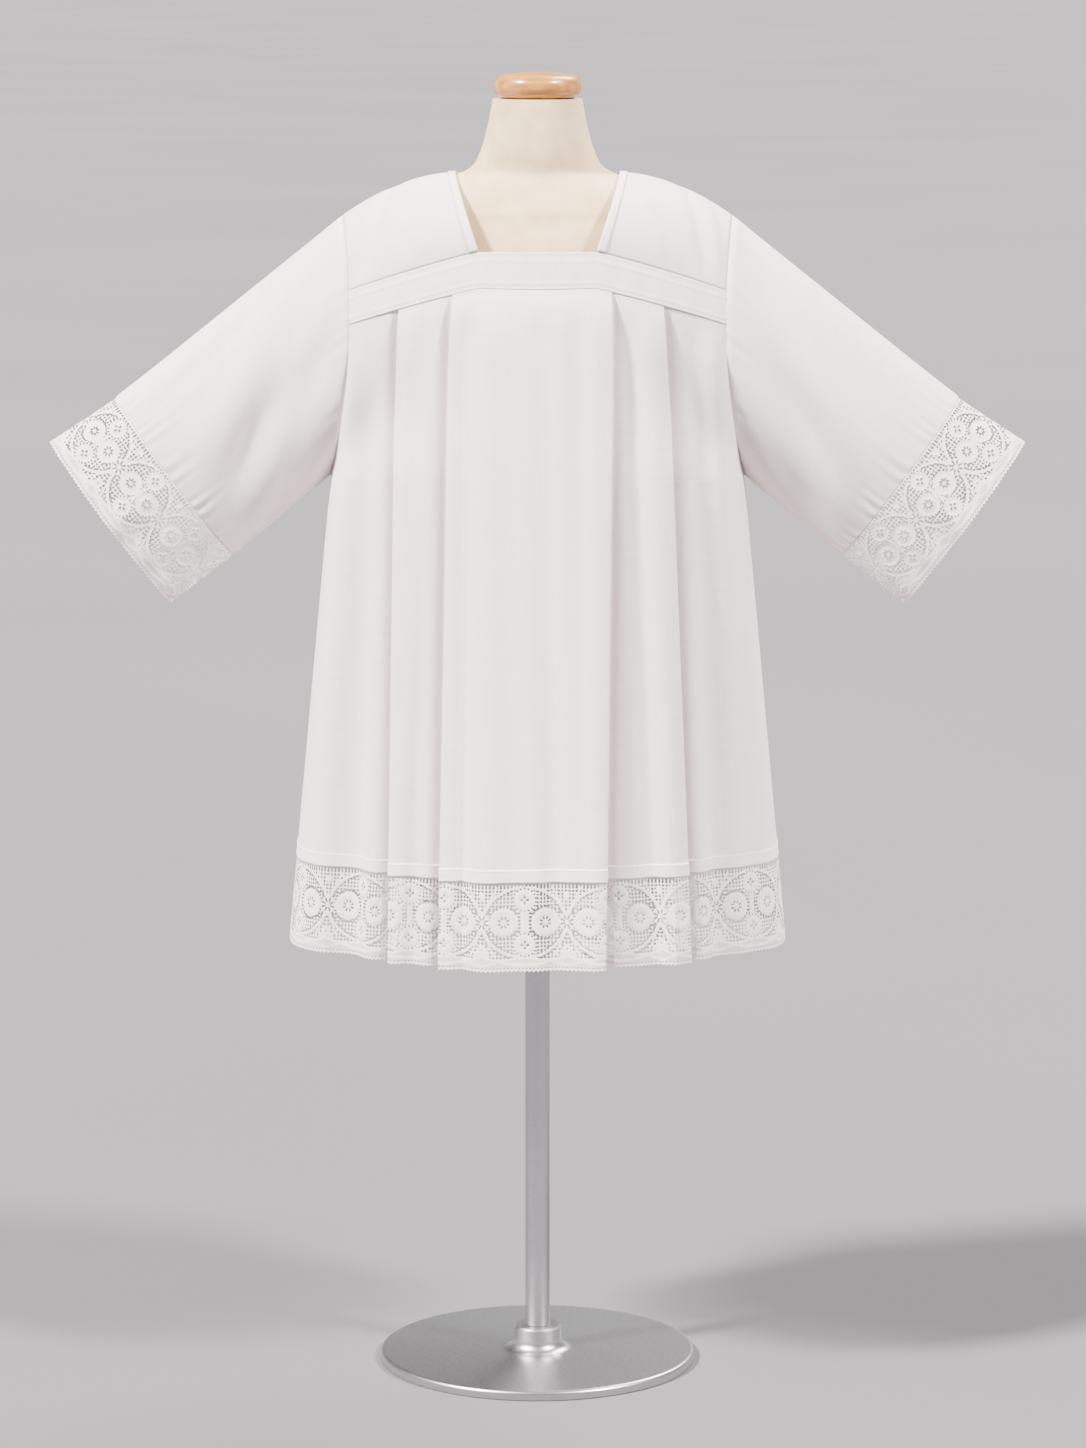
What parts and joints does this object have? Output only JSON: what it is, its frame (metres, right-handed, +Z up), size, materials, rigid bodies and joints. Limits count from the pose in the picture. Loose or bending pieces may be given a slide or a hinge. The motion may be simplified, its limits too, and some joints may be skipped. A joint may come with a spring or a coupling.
{
  "type": "surplice on dress form",
  "caption": "White lace-trimmed surplice with a square neck, banded pleats and wide straight sleeves, on a dress form with a round foot.",
  "frame": {"origin": "centre of the stand's round foot, at the floor", "axes": "+Z up, -Y towards the front of the garment, +X towards the sleeve at the right of the front view"},
  "size_m": [0.9656, 0.3734, 1.3],
  "materials": {
    "cotton_cloth": "matt plain-woven cotton blend",
    "cotton_lace": "matt machine-made lace",
    "form_cover": "matt stretched cover",
    "varnished_beech": "varnished, turned",
    "brushed_steel": "satin"
  },
  "bodies": {
    "root": {"yoke_left": "cotton_cloth", "yoke_right": "cotton_cloth", "band_front": "cotton_cloth", "band_back": "cotton_cloth", "body_front": "cotton_cloth", "body_back": "cotton_cloth", "sleeve_left": "cotton_cloth", "sleeve_right": "cotton_cloth", "hem_lace_front": "cotton_lace", "hem_lace_back": "cotton_lace", "cuff_lace_left": "cotton_lace", "cuff_lace_right": "cotton_lace", "form_torso": "form_cover", "form_cap": "varnished_beech", "form_pole": "brushed_steel", "form_foot": "brushed_steel"}
  },
  "joints": []
}
